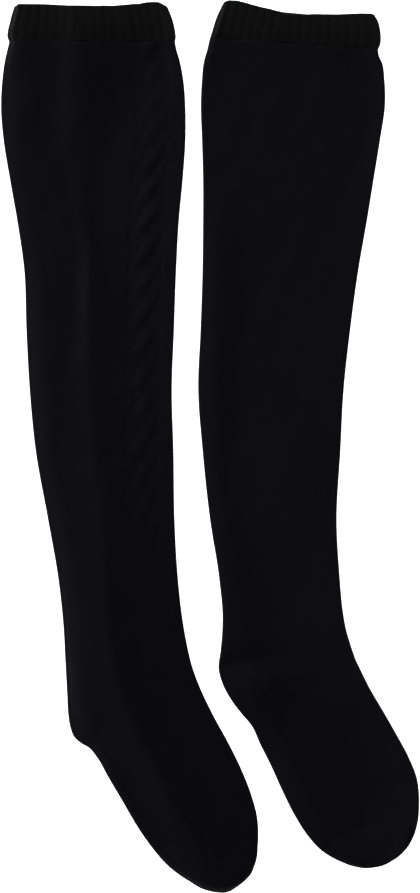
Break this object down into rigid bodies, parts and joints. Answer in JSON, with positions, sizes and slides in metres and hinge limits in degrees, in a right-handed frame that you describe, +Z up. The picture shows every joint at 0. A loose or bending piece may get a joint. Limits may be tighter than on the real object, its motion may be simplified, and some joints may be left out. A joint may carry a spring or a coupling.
{
  "type": "pair of long knit socks",
  "caption": "Pair of over-the-knee knit socks laid flat, with ribbed cuffs, a rope cable down the outer leg, turned heels and closed toes.",
  "frame": {"origin": "under the middle of the pair, on the surface that the socks lie on", "axes": "+Z up out of the surface, +Y towards the cuffs along the legs, +X to the right, from the cabled sock to the plain one"},
  "size_m": [0.3844, 0.8206, 0.008],
  "materials": {
    "leg_knit": "near-black fine knit, matt with a soft nap",
    "cuff_rib": "near-black ribbed knit, matt"
  },
  "bodies": {
    "root": {"left_sock_leg": "leg_knit", "left_sock_foot": "leg_knit", "left_sock_cuff": "cuff_rib", "right_sock_leg": "leg_knit", "right_sock_foot": "leg_knit", "right_sock_cuff": "cuff_rib"}
  },
  "joints": []
}
